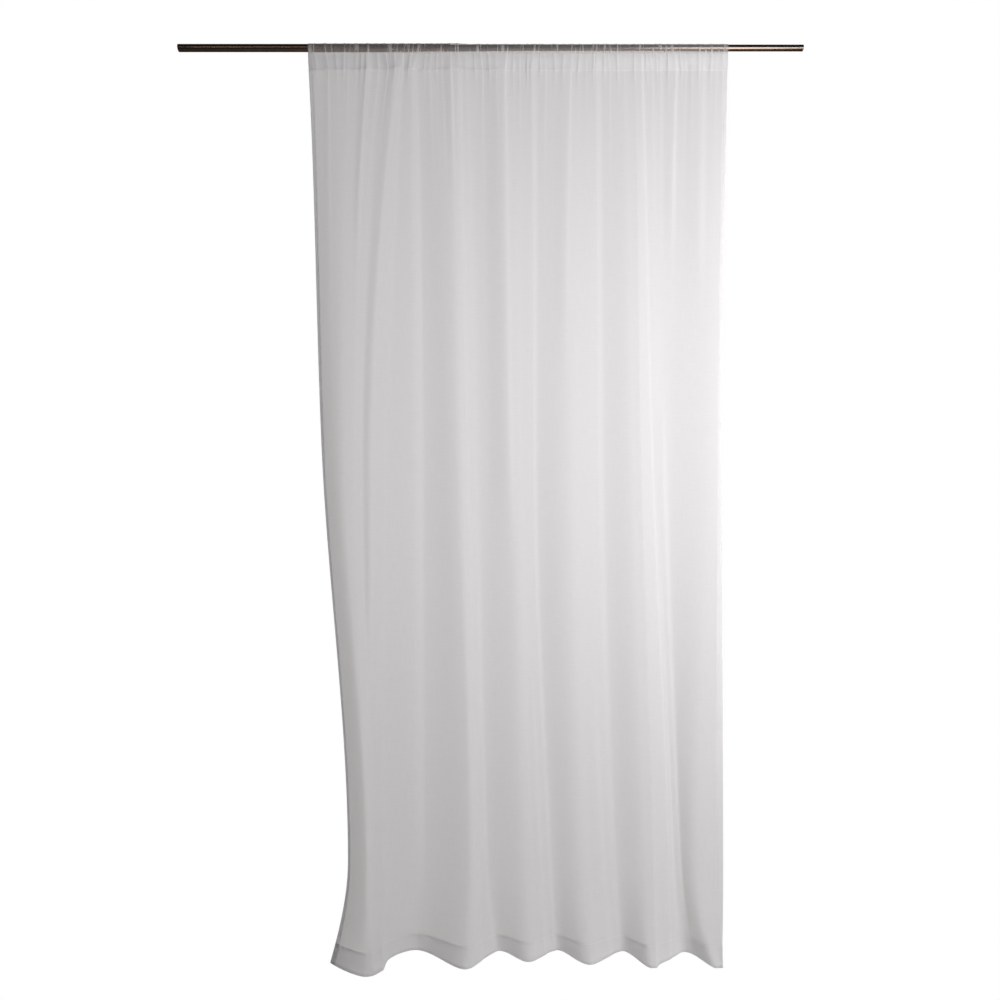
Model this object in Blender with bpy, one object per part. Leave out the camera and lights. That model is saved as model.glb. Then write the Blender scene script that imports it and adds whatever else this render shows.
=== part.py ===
"""A sheer voile curtain panel gathered on a telescopic metal rod.

The panel is one cut length of voile. Its top is turned over the rod and stitched down, which
makes the pocket that the rod runs through, and the cloth is pushed together along the rod into
small uneven gathers. Below the seam the gathers run together into a few deep folds, which are
deepest at the hem.

Frame: +X to the right, +Y away from the viewer, +Z up. The origin is on the rod's axis, in the
middle of the rod's length. Everything is in metres, apart from the two tables, which are in
millimetres.
"""

import math
from collections import namedtuple

import bmesh
import bpy
from mathutils import Vector

MM = 0.001

# The rod: two steel tubes, the narrower one sliding in the wider one
ROD_LENGTH = 1.674
OUTER_TUBE_DIAMETER = 0.019
INNER_TUBE_DIAMETER = 0.016
TUBE_WALL = 0.0008
OUTER_TUBE_END = -0.109
TUBE_OVERLAP = 0.200
TUBE_SIDES = 32

# The cloth
CLOTH_THICKNESS = 0.0010
HEM_EXTRA_THICKNESS = 0.0006
HEM_HEIGHT = 0.050
HEM_STEP = 0.002
SIDE_HEM_WIDTH = 0.012
DROP = 2.450

# The pocket, from the top of the rod down to its seam
POCKET_DEPTH = 0.070
ROD_CLEARANCE = 0.0004
TUBE_END_CLEARANCE = 0.0020
TUBE_END_EASE = 0.035
POCKET_ARC_STEPS = 5
SEAM_WIDTH = 0.003

ROD_TOP = OUTER_TUBE_DIAMETER / 2
SEAM_Z = ROD_TOP - POCKET_DEPTH
HEM_Z = ROD_TOP - DROP

# The panel below the seam
ROWS_BELOW_SEAM = 12
HEM_ROW_CLEAR = 0.012
WIDEST_COLUMN = 0.024
CLOSEST_COLUMNS = 0.006
GATHER_BASE = 0.012
GATHER_BASE_GROWTH = 0.028
GATHER_GROWTH_DROP = 0.800
GATHER_LEFT = 0.90
GATHER_RIGHT = 0.55
GATHER_ON_ROD = 0.40
CREASE_FADE = 0.260

# How much steeper than its last step the cloth runs out to a free edge
FREE_EDGE_STEEPNESS = 1.6

# Heights at which the fold table gives a place
MID_Z = -1.078
LOW_Z = -2.177

# Each fold runs from the seam to the hem. Its places are to the right of the rod's middle, and
# depth is how far its line stands towards the viewer at the hem (negative is away). Early is how
# much deeper than the others it is above that.
Fold = namedtuple("Fold", "name seam mid low hem depth early")
FOLDS = (
    Fold("left edge", -488, -452, -381, -426, 20, 1.0),
    Fold("first lobe", -391, -385, -322, -323, 79, 1.9),
    Fold("left turn, front", -254, -314, -304, -280, 52, 1.7),
    Fold("left turn, back", -240, -280, -287, -275, 12, 1.2),
    Fold("first hollow", -203, -192, -191, -206, -36, 1.0),
    Fold("second lobe", -128, -92, -58, -69, 47, 1.0),
    Fold("sharp line", -85, -61, -31, -22, 6, 1.0),
    Fold("second hollow", -45, -29, -7, 22, -32, 1.0),
    Fold("third lobe", 38, 57, 87, 101, 17, 1.0),
    Fold("third hollow", 119, 119, 159, 178, -36, 0.8),
    Fold("fourth lobe", 218, 210, 242, 264, 29, 0.7),
    Fold("fourth hollow", 290, 296, 331, 356, -32, 0.7),
    Fold("fifth lobe", 368, 384, 416, 424, 43, 0.7),
    Fold("tuck front", 384, 400, 432, 437, 41, 0.7),
    Fold("tuck back", 390, 408, 441, 442, 31, 0.7),
    Fold("right line", 406, 433, 478, 483, 2, 0.8),
    Fold("fifth hollow", 486, 478, 503, 530, -29, 0.8),
    Fold("last lobe", 593, 583, 550, 593, 43, 0.7),
    Fold("right edge", 635, 617, 619, 611, 41, 0.9),
)

# Each gather is a small ridge. It crosses the seam at its place and the rod a little to one
# side (lean), stands out by rise at the seam, and fades over its reach below the seam. Its left
# and right sides are shares of its base, which grows downwards.
Gather = namedtuple("Gather", "place lean rise reach")
GATHERS = (
    Gather(-434, -7, 3.4, 350),
    Gather(-380, 4, 1.5, 150),
    Gather(-324, 0, 3.4, 500),
    Gather(-299, -4, 2.5, 200),
    Gather(-275, -8, 3.4, 250),
    Gather(-238, 5, 3.4, 900),
    Gather(-198, 10, 3.0, 250),
    Gather(-163, 8, 2.5, 200),
    Gather(-129, 0, 2.3, 250),
    Gather(-106, 0, 2.8, 450),
    Gather(-85, -3, 2.8, 250),
    Gather(-62, 0, 2.3, 250),
    Gather(-23, -6, 3.2, 200),
    Gather(17, 0, 1.9, 200),
    Gather(38, 8, 2.8, 250),
    Gather(79, 0, 2.3, 200),
    Gather(116, 4, 2.8, 250),
    Gather(148, -8, 2.8, 200),
    Gather(215, 6, 2.7, 250),
    Gather(258, 0, 1.6, 200),
    Gather(290, 2, 2.3, 250),
    Gather(319, -7, 2.7, 250),
    Gather(360, 0, 1.6, 200),
    Gather(404, -2, 2.3, 250),
    Gather(433, -9, 2.3, 350),
    Gather(460, 0, 2.7, 250),
    Gather(497, -7, 3.1, 400),
    Gather(524, -8, 2.3, 250),
    Gather(543, -2, 1.9, 200),
    Gather(572, 0, 1.6, 400),
    Gather(606, 0, 1.2, 300),
)

# A crease is a long ridge. From its first height to its last it moves from its first place to its
# second. It comes forward over its left width and falls back over its shorter right width, and
# its places are those of the middle of that steep side.
Crease = namedtuple("Crease", "name first last top bottom rise left right")
CREASES = (
    Crease("left gather", -322, -326, -80, -600, 2.2, 30, 13),
    Crease("left turn", -240, -247, -80, -1700, 5.0, 36, 17),
    Crease("first hollow", -203, -203, -90, -2300, 5.4, 44, 18),
    Crease("short one", -106, -106, -80, -420, 3.0, 20, 13),
    Crease("sharp line", -85, -85, -70, -2410, 7.5, 50, 20),
    Crease("beside the sharp line", -58, -52, -1500, -2400, 3.2, 26, 13),
    Crease("third lobe", 38, 38, -80, -1350, 5.5, 52, 22),
    Crease("third hollow, left", 92, 90, -1900, -2400, 2.6, 24, 13),
    Crease("third hollow", 119, 119, -80, -2400, 5.4, 44, 18),
    Crease("fourth lobe", 214, 214, -80, -900, 3.0, 34, 18),
    Crease("fourth hollow, left", 266, 268, -1900, -2360, 2.6, 24, 13),
    Crease("fourth hollow", 290, 290, -80, -2400, 5.2, 44, 18),
    Crease("right line", 406, 406, -70, -2400, 4.0, 36, 11),
    Crease("across to the hollow", 470, 512, -1150, -2400, 5.4, 44, 20),
    Crease("right gather", 497, 497, -80, -620, 4.4, 30, 16),
    Crease("right band", 570, 572, -80, -700, 3.4, 40, 24),
)

# How much of each fold's depth has opened at some heights, from the seam to the hem
OPENING = (
    (SEAM_Z, 0.02),
    (-0.15, 0.08),
    (-0.40, 0.16),
    (MID_Z, 0.26),
    (LOW_Z, 0.43),
    (HEM_Z + 1.6 * HEM_HEIGHT, 0.62),
    (HEM_Z, 1.00),
)


def smooth_through(points, place, end_steepness=1.0):
    """The value at a place on a smooth curve through (place, value) points.

    The curve is a monotone cubic: it turns at the points and never swings past them. At its two
    ends it is end_steepness times as steep as its end steps.
    """
    places = [p for p, _ in points]
    values = [v for _, v in points]
    if place <= places[0]:
        return values[0]
    if place >= places[-1]:
        return values[-1]
    last = len(points) - 1
    steps = [(values[i + 1] - values[i]) / (places[i + 1] - places[i]) for i in range(last)]

    def slope(i):
        if i == 0:
            return steps[0] * end_steepness
        if i == last:
            return steps[-1] * end_steepness
        if steps[i - 1] * steps[i] <= 0:
            return 0.0
        return 2 * steps[i - 1] * steps[i] / (steps[i - 1] + steps[i])

    i = max(k for k in range(last) if places[k] <= place)
    width = places[i + 1] - places[i]
    t = (place - places[i]) / width
    return (
        values[i] * (1 + 2 * t) * (1 - t) ** 2
        + slope(i) * width * t * (1 - t) ** 2
        + values[i + 1] * t * t * (3 - 2 * t)
        - slope(i + 1) * width * t * t * (1 - t)
    )


def eased(t):
    """0 below 0, 1 above 1 and smooth between."""
    t = min(1.0, max(0.0, t))
    return t * t * (3 - 2 * t)


def downwards(points, z):
    """smooth_through for points that are listed from the seam down to the hem."""
    turned = [(-height, value) for height, value in points]
    return smooth_through(turned, -z, FREE_EDGE_STEEPNESS)


def fold_place(fold, z):
    """Where a fold's line is at a height, to the right of the rod's middle."""
    stations = (
        (SEAM_Z, fold.seam * MM),
        (MID_Z, fold.mid * MM),
        (LOW_Z, fold.low * MM),
        (HEM_Z, fold.hem * MM),
    )
    return downwards(stations, z)


def across(column, z):
    """Where a thread that crosses the seam at column is at a height."""
    if z >= SEAM_Z:
        return column
    return smooth_through([(f.seam * MM, fold_place(f, z)) for f in FOLDS], column)


def fold_depth(column, z):
    """How far the folds bring a thread towards the viewer at a height."""
    opening = downwards(OPENING, z)
    flare = eased((LOW_Z - z) / (LOW_Z - HEM_Z))
    profile = []
    for fold in FOLDS:
        share = fold.early + (1 - fold.early) * flare
        profile.append((fold.seam * MM, fold.depth * MM * share))
    return opening * smooth_through(profile, column, FREE_EDGE_STEEPNESS)


def ridge(column, place, left, right):
    """A ridge of height 1, with the middle of its right side at one place."""
    off = column - place + right / 2
    return eased(1 + off / left) if off < 0 else eased(1 - off / right)


def gather_rise(column, z):
    """How far the small gathers stand out at a thread, at or below the seam."""
    below = max(0.0, SEAM_Z - z)
    base = GATHER_BASE + GATHER_BASE_GROWTH * min(1.0, below / GATHER_GROWTH_DROP)
    total = 0.0
    for gather in GATHERS:
        fade = math.exp(-below / (gather.reach * MM))
        form = ridge(column, gather.place * MM, GATHER_LEFT * base, GATHER_RIGHT * base)
        total += gather.rise * MM * fade * form
    return total


def crease_rise(column, z):
    """How far the long creases stand out at a thread."""
    total = 0.0
    for crease in CREASES:
        top, bottom = crease.top * MM, crease.bottom * MM
        share = min(1.0, max(0.0, (top - z) / (top - bottom)))
        place = (crease.first + (crease.last - crease.first) * share) * MM
        shown = eased((top + CREASE_FADE - z) / CREASE_FADE)
        if bottom > HEM_Z + 2.4 * HEM_HEIGHT:
            shown *= eased((z - bottom) / CREASE_FADE)
        form = ridge(column, place, crease.left * MM, crease.right * MM)
        total += crease.rise * MM * shown * form
    return total


def lean_on_rod(column):
    """How far a thread moves sideways between the seam and the rod."""
    points = [(FOLDS[0].seam * MM, 0.0)]
    points += [(g.place * MM, g.lean * MM) for g in GATHERS]
    points += [(FOLDS[-1].seam * MM, 0.0)]
    return smooth_through(points, column)


def hanging_point(column, z):
    """The middle of the cloth's thickness at or below the seam."""
    towards = fold_depth(column, z) + gather_rise(column, z) + crease_rise(column, z)
    return Vector((across(column, z), -towards, z))


def hanging_normal(column, z):
    """The direction from the cloth towards the viewer, square to the cloth."""
    sideways, down = 0.0008, 0.004
    right = hanging_point(column + sideways, z) - hanging_point(column - sideways, z)
    low = max(HEM_Z, z - down)
    high = min(SEAM_Z, z + down)
    up = hanging_point(column, high) - hanging_point(column, low)
    return right.cross(up).normalized()


def rod_radius_under(x):
    """The rod's radius, with the easing by which cloth passes the wider tube's cut end."""
    wide = OUTER_TUBE_DIAMETER / 2
    narrow = INNER_TUBE_DIAMETER / 2
    stations = (
        (-TUBE_END_EASE, wide + ROD_CLEARANCE),
        (0.0, wide + TUBE_END_CLEARANCE),
        (TUBE_END_EASE / 3, wide + TUBE_END_CLEARANCE),
        (TUBE_END_EASE * 1.5, narrow + ROD_CLEARANCE),
    )
    return smooth_through(stations, x - OUTER_TUBE_END)


def pocket_angles():
    """Angles round the rod, from the front tangent over the top to the back tangent."""
    tangent = math.asin((OUTER_TUBE_DIAMETER / 2) / -SEAM_Z)
    start = math.pi + tangent
    end = -tangent
    return [start + (end - start) * i / POCKET_ARC_STEPS for i in range(POCKET_ARC_STEPS + 1)]


def pocket_section(column):
    """Pairs of outer and inner points of the pocket, from its front foot to its back foot.

    Both feet are left out: they are the panel's own points at the seam.
    """
    x = column + lean_on_rod(column)
    thick = thickness_at(column, SEAM_Z)
    angles = pocket_angles()
    flat_to_round = math.cos((angles[0] - angles[1]) / 2)
    rise = gather_rise(column, SEAM_Z)
    inside = rod_radius_under(x) / flat_to_round + rise * GATHER_ON_ROD
    seam = hanging_point(column, SEAM_Z)
    pairs = []

    def ring_point(angle, out):
        return Vector((x, math.cos(angle) * out, math.sin(angle) * out))

    for angle in angles:
        pairs.append((ring_point(angle, inside + thick), ring_point(angle, inside)))
    half = Vector((0, thick / 2, 0))
    for at_rod, place, side in ((pairs[0], 0, -1), (pairs[-1], len(pairs) + 1, 1)):
        middle = (at_rod[0] + at_rod[1]) / 4 + seam / 2
        middle.y += side * rise * (1 - GATHER_ON_ROD) / 2
        pairs.insert(place, (middle + side * half, middle - side * half))
    return pairs


def thickness_at(column, z):
    """The cloth's thickness, more where a hem doubles it."""
    edge = min(column - FOLDS[0].seam * MM, FOLDS[-1].seam * MM - column)
    hemmed = z < HEM_Z + HEM_HEIGHT or edge < SIDE_HEM_WIDTH
    return CLOTH_THICKNESS + (HEM_EXTRA_THICKNESS if hemmed else 0.0)


def seam_thickness(column):
    """The thickness at the seam, where the pocket's front and back are sewn together."""
    return 2 * thickness_at(column, SEAM_Z)


def rows_below_seam():
    """Heights from the hem up to the seam, closer together at both ends."""
    tail = SEAM_Z - HEM_Z
    heights = []
    for i in range(ROWS_BELOW_SEAM + 1):
        heights.append(HEM_Z + tail * (1 - math.cos(math.pi * i / ROWS_BELOW_SEAM)) / 2)
    hem_top = HEM_Z + HEM_HEIGHT
    heights = [z for z in heights if abs(z - hem_top) > HEM_ROW_CLEAR]
    heights += [hem_top - HEM_STEP / 2, hem_top + HEM_STEP / 2]
    return sorted(heights)


def column_places():
    """Where columns of faces cross the seam: on each ridge's crest and feet and between."""
    left, right = FOLDS[0].seam * MM, FOLDS[-1].seam * MM
    wanted = [left, right]
    for gather in GATHERS:
        crest = gather.place * MM - GATHER_RIGHT * GATHER_BASE / 2
        wanted += [crest, crest - GATHER_LEFT * GATHER_BASE, crest + GATHER_RIGHT * GATHER_BASE]
    for crease in CREASES:
        crest = (crease.first - crease.right / 2) * MM
        wanted += [crest, crest + crease.right * MM, crest - crease.left / 2 * MM]
    wanted += [left + SIDE_HEM_WIDTH, right - SIDE_HEM_WIDTH]
    kept = []
    for place in wanted:
        inside = left <= place <= right
        if inside and all(abs(place - other) >= CLOSEST_COLUMNS for other in kept):
            kept.append(place)
    kept.sort()
    columns = [kept[0]]
    for place in kept[1:]:
        gap = place - columns[-1]
        count = math.ceil(gap / WIDEST_COLUMN)
        start = columns[-1]
        columns += [start + gap * (i + 1) / count for i in range(count)]
    return columns


def section_points(column, rows):
    """All points of the panel's cross-section at one column, in a fixed order."""
    front, back = [], []
    for z in rows:
        middle = hanging_point(column, z)
        thick = seam_thickness(column) if z == rows[-1] else thickness_at(column, z)
        half = hanging_normal(column, z) * thick / 2
        front.append(middle + half)
        back.append(middle - half)
    pairs = pocket_section(column)
    crotch = hanging_point(column, SEAM_Z) + Vector((0, 0, SEAM_WIDTH))
    return front + back + [p[0] for p in pairs] + [p[1] for p in pairs] + [crotch]


def section_faces(row_count, pair_count):
    """The faces that fill a cross-section, as places in section_points' order."""
    front = list(range(row_count))
    back = [row_count + i for i in front]
    outer = [2 * row_count + i for i in range(pair_count)]
    inner = [2 * row_count + pair_count + i for i in range(pair_count)]
    crotch = 2 * row_count + 2 * pair_count
    faces = []
    for i in range(row_count - 1):
        faces.append((front[i], front[i + 1], back[i + 1], back[i]))
    faces.append((front[-1], crotch, back[-1]))
    ring = [(front[-1], crotch)] + list(zip(outer, inner)) + [(back[-1], crotch)]
    for (out_a, in_a), (out_b, in_b) in zip(ring, ring[1:]):
        faces.append((out_a, out_b, in_b, in_a))
    return faces


def new_object(name, bm, colour, roughness, metallic, alpha=1.0):
    """Make an object from a bmesh, with its own material."""
    mesh = bpy.data.meshes.new(name)
    bm.to_mesh(mesh)
    bm.free()
    mesh.shade_smooth()
    mesh.set_sharp_from_angle(angle=math.radians(40))
    material = bpy.data.materials.new(name)
    material.use_nodes = True
    shader = material.node_tree.nodes["Principled BSDF"]
    shader.inputs["Base Color"].default_value = (*colour, 1)
    shader.inputs["Roughness"].default_value = roughness
    shader.inputs["Metallic"].default_value = metallic
    shader.inputs["Alpha"].default_value = alpha
    mesh.materials.append(material)
    ob = bpy.data.objects.new(name, mesh)
    bpy.context.scene.collection.objects.link(ob)
    return ob


def extrude(bm, faces):
    """Extrude faces as one region and give back what that made."""
    edges = list({edge for face in faces for edge in face.edges})
    return bmesh.ops.extrude_face_region(bm, geom=faces + edges)["geom"]


def voile_panel():
    """The panel: a cross-section from hem to pocket, extruded from column to column."""
    rows = rows_below_seam()
    columns = column_places()
    bm = bmesh.new()
    place = bm.verts.layers.int.new("place")
    points = section_points(columns[0], rows)
    verts = [bm.verts.new(point) for point in points]
    for index, vert in enumerate(verts):
        vert[place] = index
    pair_count = len(pocket_section(columns[0]))
    cap = [bm.faces.new([verts[i] for i in face]) for face in section_faces(len(rows), pair_count)]
    for column in columns[1:]:
        points = section_points(column, rows)
        made = extrude(bm, cap)
        cap = [item for item in made if isinstance(item, bmesh.types.BMFace)]
        for item in made:
            if isinstance(item, bmesh.types.BMVert):
                item.co = points[item[place]]
    bmesh.ops.recalc_face_normals(bm, faces=bm.faces[:])
    # A twisted face is split the same way on both sides of the cloth, so they stay apart
    bmesh.ops.triangulate(bm, faces=bm.faces[:], quad_method="SHORT_EDGE")
    return new_object("voile_panel", bm, (0.84, 0.84, 0.83), 0.9, 0.0, alpha=0.6)


def tube(name, closed_x, open_x, diameter, colour):
    """A steel tube along X with a wall, closed flat at one end and open at the other."""
    bm = bmesh.new()
    length = abs(open_x - closed_x)
    bmesh.ops.create_cone(
        bm,
        cap_ends=True,
        segments=TUBE_SIDES,
        radius1=diameter / 2,
        radius2=diameter / 2,
        depth=length,
    )
    mouth = [f for f in bm.faces if f.normal.z > 0.9]
    bmesh.ops.inset_region(bm, faces=mouth, thickness=TUBE_WALL, use_even_offset=True)
    floor = extrude(bm, mouth)
    floor_verts = [item for item in floor if isinstance(item, bmesh.types.BMVert)]
    bmesh.ops.translate(bm, verts=floor_verts, vec=(0, 0, TUBE_WALL - length))
    bmesh.ops.recalc_face_normals(bm, faces=bm.faces[:])
    ob = new_object(name, bm, colour, 0.22, 1.0)
    turn = math.radians(90 if open_x > closed_x else -90)
    ob.rotation_euler = (0, turn, 0)
    ob.location = ((open_x + closed_x) / 2, 0, 0)
    return ob


def build():
    """Clear the scene, then make the rod and the curtain on it."""
    for ob in list(bpy.data.objects):
        bpy.data.objects.remove(ob)
    half = ROD_LENGTH / 2
    dark_steel, warm_steel = (0.16, 0.15, 0.14), (0.30, 0.25, 0.22)
    tube("rod_outer_tube", -half, OUTER_TUBE_END, OUTER_TUBE_DIAMETER, dark_steel)
    inner_start = OUTER_TUBE_END - TUBE_OVERLAP
    tube("rod_inner_tube", half, inner_start, INNER_TUBE_DIAMETER, warm_steel)
    voile_panel()


build()
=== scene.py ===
# %% [markdown]
# A sheer voile curtain, gathered on a telescopic rod
#
# The real thing is one length of white voile. Its top is turned over a steel rod and stitched
# down, so the rod runs through a pocket, and the cloth is pushed together along the rod into small
# uneven gathers. Further down the gathers run together into a few soft folds.
#
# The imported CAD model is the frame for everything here. It is in metres, with X to the right,
# Y away from the viewer and Z up, and its origin is on the rod's axis in the middle of the rod.

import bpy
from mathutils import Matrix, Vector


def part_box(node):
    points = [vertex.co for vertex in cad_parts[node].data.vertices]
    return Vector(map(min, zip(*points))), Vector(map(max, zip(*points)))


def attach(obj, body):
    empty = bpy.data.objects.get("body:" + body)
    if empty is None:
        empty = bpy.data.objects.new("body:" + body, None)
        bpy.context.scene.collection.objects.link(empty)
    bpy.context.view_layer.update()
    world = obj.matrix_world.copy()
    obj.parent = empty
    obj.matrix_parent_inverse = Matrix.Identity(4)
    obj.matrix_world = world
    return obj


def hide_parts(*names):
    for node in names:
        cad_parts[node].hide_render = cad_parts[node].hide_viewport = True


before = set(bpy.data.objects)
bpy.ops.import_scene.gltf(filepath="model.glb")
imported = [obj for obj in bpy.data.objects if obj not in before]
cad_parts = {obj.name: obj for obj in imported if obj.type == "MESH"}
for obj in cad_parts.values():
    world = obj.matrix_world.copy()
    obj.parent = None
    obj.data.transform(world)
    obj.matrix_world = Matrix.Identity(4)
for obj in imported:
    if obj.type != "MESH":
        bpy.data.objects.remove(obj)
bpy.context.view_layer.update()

# %% Tools that every cell uses
import math
from collections import namedtuple

import bmesh
import bpy
import numpy as np
from mathutils import Matrix, Vector

MM = 0.001
scene = bpy.context.scene


def linear(hex_colour):
    """The linear RGBA colour of an sRGB hex value such as #f4f2ee."""
    parts = [int(hex_colour[i : i + 2], 16) / 255 for i in (1, 3, 5)]
    return tuple(p / 12.92 if p <= 0.04045 else ((p + 0.055) / 1.055) ** 2.4 for p in parts) + (1.0,)


def add_node(tree, kind, settings=None, inputs=None):
    """Add a node. Settings are its properties, and inputs are values or sockets to link."""
    made = tree.nodes.new(kind)
    for name, value in (settings or {}).items():
        setattr(made, name, value)
    for name, value in (inputs or {}).items():
        if isinstance(value, bpy.types.NodeSocket):
            tree.links.new(value, made.inputs[name])
        else:
            made.inputs[name].default_value = value
    return made


def new_material(name):
    """An empty material: its node tree and its output node."""
    material = bpy.data.materials.new(name)
    material.use_nodes = True
    material.node_tree.nodes.clear()
    return material, material.node_tree, add_node(material.node_tree, "ShaderNodeOutputMaterial")


def new_piece(name, bm, material):
    """Turn a bmesh into a piece that rides on the frame."""
    mesh = bpy.data.meshes.new(name)
    bm.to_mesh(mesh)
    bm.free()
    mesh.materials.append(material)
    piece = bpy.data.objects.new(name, mesh)
    scene.collection.objects.link(piece)
    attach(piece, "root")
    triangles = sum(len(p.vertices) - 2 for p in mesh.polygons)
    print(name, triangles, "triangles")
    return piece


# %% [markdown]
# The camera
#
# The photo was taken straight from the front, level with the middle of the curtain. The wave of
# the hem shows how far away: its lobes hang towards the camera, so they come out lower in the
# picture than its hollows. At 2.0 m that wave unrolls to nearly the width of the cut cloth.

# %% Set up the camera
CAMERA_PLACE = Vector((0.025, -2.0, -1.212))
PIXELS_PER_METRE = 372.9
PICTURE_PIXELS = 1000
SENSOR_WIDTH = 36

camera = bpy.data.objects.new("camera", bpy.data.cameras.new("camera"))
scene.collection.objects.link(camera)
camera.location = CAMERA_PLACE
camera.rotation_euler = (math.radians(90), 0, 0)
camera.data.sensor_width = SENSOR_WIDTH
camera.data.lens = SENSOR_WIDTH * PIXELS_PER_METRE * -CAMERA_PLACE.y / PICTURE_PIXELS
camera.data.clip_end = 100
scene.camera = camera
print("lens", round(camera.data.lens, 2), "mm")

# %% [markdown]
# The rod
#
# A telescopic rod is two drawn steel tubes, the narrower one sliding in the wider one. The cut
# edges are broken so they don't catch the cloth. A cone with two equal radii gives each tube,
# an inset and an extrusion hollow it from its open end, and a small bevel breaks its edges. Its
# sizes come from the CAD node that it stands for, so the two always agree.

# %% Chromed steel
# Chromed steel is a bright metal skin on a drawn tube. To the eye it is dark where it mirrors a
# dark room, with one sharp light line along it, and a fine grain runs along the tube. The grain
# is about 0.05 mm wide, which is too fine to show here, so it is drawn 0.4 mm wide.
GRAIN_WIDTH = 0.4 * MM
GRAIN_LENGTH = 60 * MM


def chromed_steel(name, light_hex, dark_hex, roughness):
    """Chromed steel whose colour wanders a little between two tones along the grain."""
    material, tree, output = new_material(name)
    place = add_node(tree, "ShaderNodeTexCoord").outputs["Object"]
    scale = (1 / GRAIN_LENGTH, 1 / GRAIN_WIDTH, 1 / GRAIN_WIDTH)
    along = add_node(tree, "ShaderNodeMapping", {}, {"Vector": place, "Scale": scale})
    grain = add_node(
        tree,
        "ShaderNodeTexNoise",
        {},
        {"Vector": along.outputs["Vector"], "Scale": 1.0, "Detail": 3.0, "Roughness": 0.6},
    )
    tones = add_node(tree, "ShaderNodeValToRGB", {}, {"Fac": grain.outputs["Fac"]})
    tones.color_ramp.elements[0].position = 0.3
    tones.color_ramp.elements[0].color = linear(dark_hex)
    tones.color_ramp.elements[1].position = 0.7
    tones.color_ramp.elements[1].color = linear(light_hex)
    rough = add_node(
        tree,
        "ShaderNodeMapRange",
        {},
        {"Value": grain.outputs["Fac"], "To Min": roughness - 0.05, "To Max": roughness + 0.08},
    )
    ridges = add_node(
        tree,
        "ShaderNodeBump",
        {},
        {"Height": grain.outputs["Fac"], "Strength": 0.05, "Distance": 0.02 * MM},
    )
    shader = add_node(
        tree,
        "ShaderNodeBsdfPrincipled",
        {},
        {
            "Base Color": tones.outputs["Color"],
            "Roughness": rough.outputs["Result"],
            "Metallic": 1.0,
            "Normal": ridges.outputs["Normal"],
        },
    )
    tree.links.new(shader.outputs["BSDF"], output.inputs["Surface"])
    return material


dark_steel = chromed_steel("dark chromed steel, drawn", "#85705f", "#5f4d42", 0.22)
warm_steel = chromed_steel("warm chromed steel, drawn", "#786a60", "#564a42", 0.26)

# %% The two tubes
TUBE_WALL = 0.8 * MM
BROKEN_EDGE = 0.25 * MM
TUBE_SIDES = 72
RIM_ANGLE = 1.2


def steel_tube(name, node, closed_left, material):
    """A tube with the place and the size of a CAD node, open at its inner end."""
    low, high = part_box(node)
    radius = (high.z - low.z) / 2
    length = high.x - low.x
    bm = bmesh.new()
    bmesh.ops.create_cone(
        bm, cap_ends=True, segments=TUBE_SIDES, radius1=radius, radius2=radius, depth=length
    )
    mouth = [f for f in bm.faces if f.normal.z > 0.9]
    bmesh.ops.inset_region(bm, faces=mouth, thickness=TUBE_WALL, use_even_offset=True)
    edges = list({e for f in mouth for e in f.edges})
    bore = bmesh.ops.extrude_face_region(bm, geom=mouth + edges)["geom"]
    bottom = [v for v in bore if isinstance(v, bmesh.types.BMVert)]
    bmesh.ops.translate(bm, verts=bottom, vec=(0, 0, TUBE_WALL - length))
    bmesh.ops.recalc_face_normals(bm, faces=bm.faces[:])
    at_ends = [e for e in bm.edges if abs(e.verts[0].co.z) > length * 0.49]
    rims = [e for e in at_ends if e.calc_face_angle(0) > RIM_ANGLE]
    bmesh.ops.bevel(
        bm,
        geom=rims,
        offset=BROKEN_EDGE,
        offset_type="OFFSET",
        segments=3,
        profile=0.5,
        affect="EDGES",
        material=-1,
    )
    turn = Matrix.Rotation(math.radians(90 if closed_left else -90), 4, "Y")
    middle = Matrix.Translation(Vector(((low.x + high.x) / 2, 0, (low.z + high.z) / 2)))
    bm.transform(middle @ turn)
    piece = new_piece(name, bm, material)
    piece.data.shade_smooth()
    piece.data.set_sharp_from_angle(angle=math.radians(35))
    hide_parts(node)
    return piece


outer_tube = steel_tube("outer_tube", "rod_outer_tube", True, dark_steel)
inner_tube = steel_tube("inner_tube", "rod_inner_tube", False, warm_steel)
outer_low, outer_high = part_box("rod_outer_tube")
inner_low, inner_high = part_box("rod_inner_tube")
OUTER_RADIUS = (outer_high.z - outer_low.z) / 2
INNER_RADIUS = (inner_high.z - inner_low.z) / 2
STEP_X = outer_high.x
print("tubes", round(OUTER_RADIUS * 2000, 1), "and", round(INNER_RADIUS * 2000, 1), "mm")

# %% [markdown]
# How the voile hangs
#
# A curtain's folds run from top to bottom, so each fold is a line with a place at a few heights
# and a depth. Between those lines the cloth curves smoothly. These are the same lines as the CAD
# model's, because the fine sheet has to lie on its solid. Cloth simulation was the other way, but
# it can't be steered to the folds of one photo, and these folds are known.

# %% The sizes and the fold lines
SEAM_Z = -60.5 * MM
HEM_Z = -2440.5 * MM
MID_Z = -1078 * MM
LOW_Z = -2177 * MM
HEM_HEIGHT = 50 * MM
SIDE_HEM_WIDTH = 12 * MM
SIDE_TURNED_UNDER = 5 * MM
TURNED_UNDER = 8 * MM
POCKET_TURNED_UNDER = 8 * MM
FREE_EDGE_STEEPNESS = 1.6

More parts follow.
